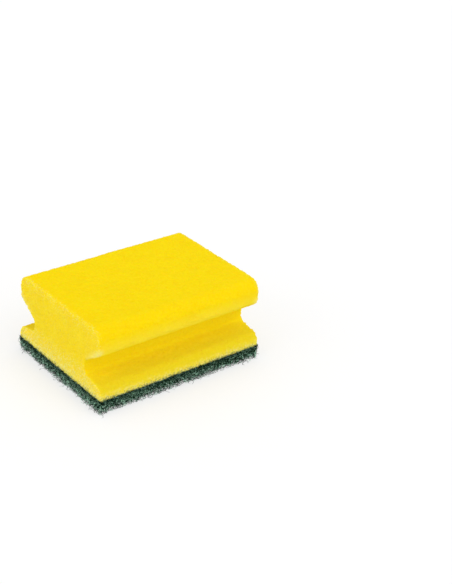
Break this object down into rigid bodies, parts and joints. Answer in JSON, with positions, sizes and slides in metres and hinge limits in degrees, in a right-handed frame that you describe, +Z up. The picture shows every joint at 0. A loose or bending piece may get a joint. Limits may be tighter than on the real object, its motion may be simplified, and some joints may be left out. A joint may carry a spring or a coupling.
{
  "type": "cleaning sponge",
  "caption": "Cleaning sponge: yellow foam block cut to one profile with a finger grip along each long side, on a dark green fibre scouring pad.",
  "frame": {"origin": "centre of the scouring pad's underside, which the sponge rests on", "axes": "+X along the finger grips, +Y across them, +Z up from the pad to the foam's flat top"},
  "size_m": [0.091, 0.07, 0.0415],
  "materials": {
    "foam": "soft open-pored foam, matt",
    "scouring_fibre": "coarse curled fibre web, stiff and matt"
  },
  "bodies": {
    "root": {"foam_body": "foam", "scouring_pad": "scouring_fibre"}
  },
  "joints": []
}
